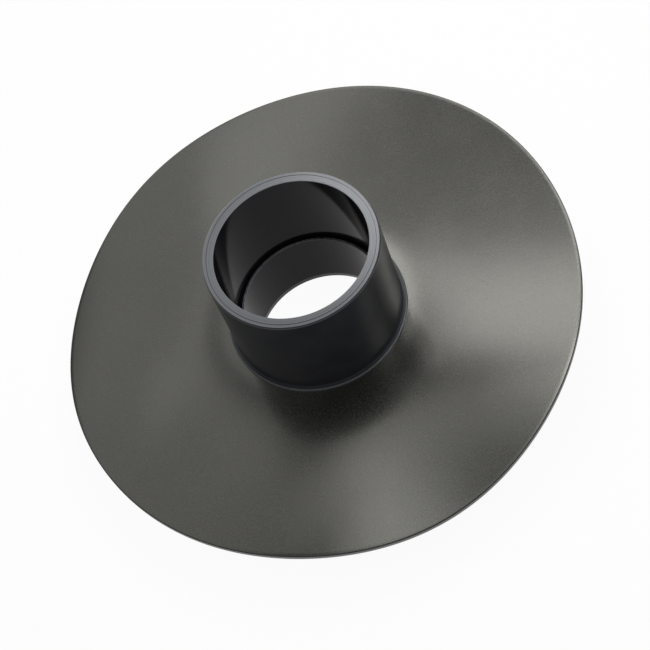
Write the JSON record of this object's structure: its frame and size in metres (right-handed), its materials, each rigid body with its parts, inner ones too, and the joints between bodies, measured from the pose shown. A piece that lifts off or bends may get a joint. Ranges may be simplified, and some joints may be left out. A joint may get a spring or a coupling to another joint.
{
  "type": "membrane pipe sleeve",
  "caption": "Plastic pipe passage with a thick round socket above a wide, gently waved round sheet flange and a short pipe stub below it.",
  "frame": {"origin": "on the pipe's axis, at the lower end of the pipe stub", "axes": "+Z along the pipe's axis, up and out of the socket; +X and +Y across the sheet flange"},
  "size_m": [0.387, 0.387, 0.128],
  "materials": {
    "sleeve": "turned, semi-gloss",
    "pipe": "smooth, semi-gloss",
    "membrane": "satin sheet"
  },
  "bodies": {
    "root": {"sleeve": "sleeve", "pipe_stub": "pipe", "membrane": "membrane"}
  },
  "joints": []
}
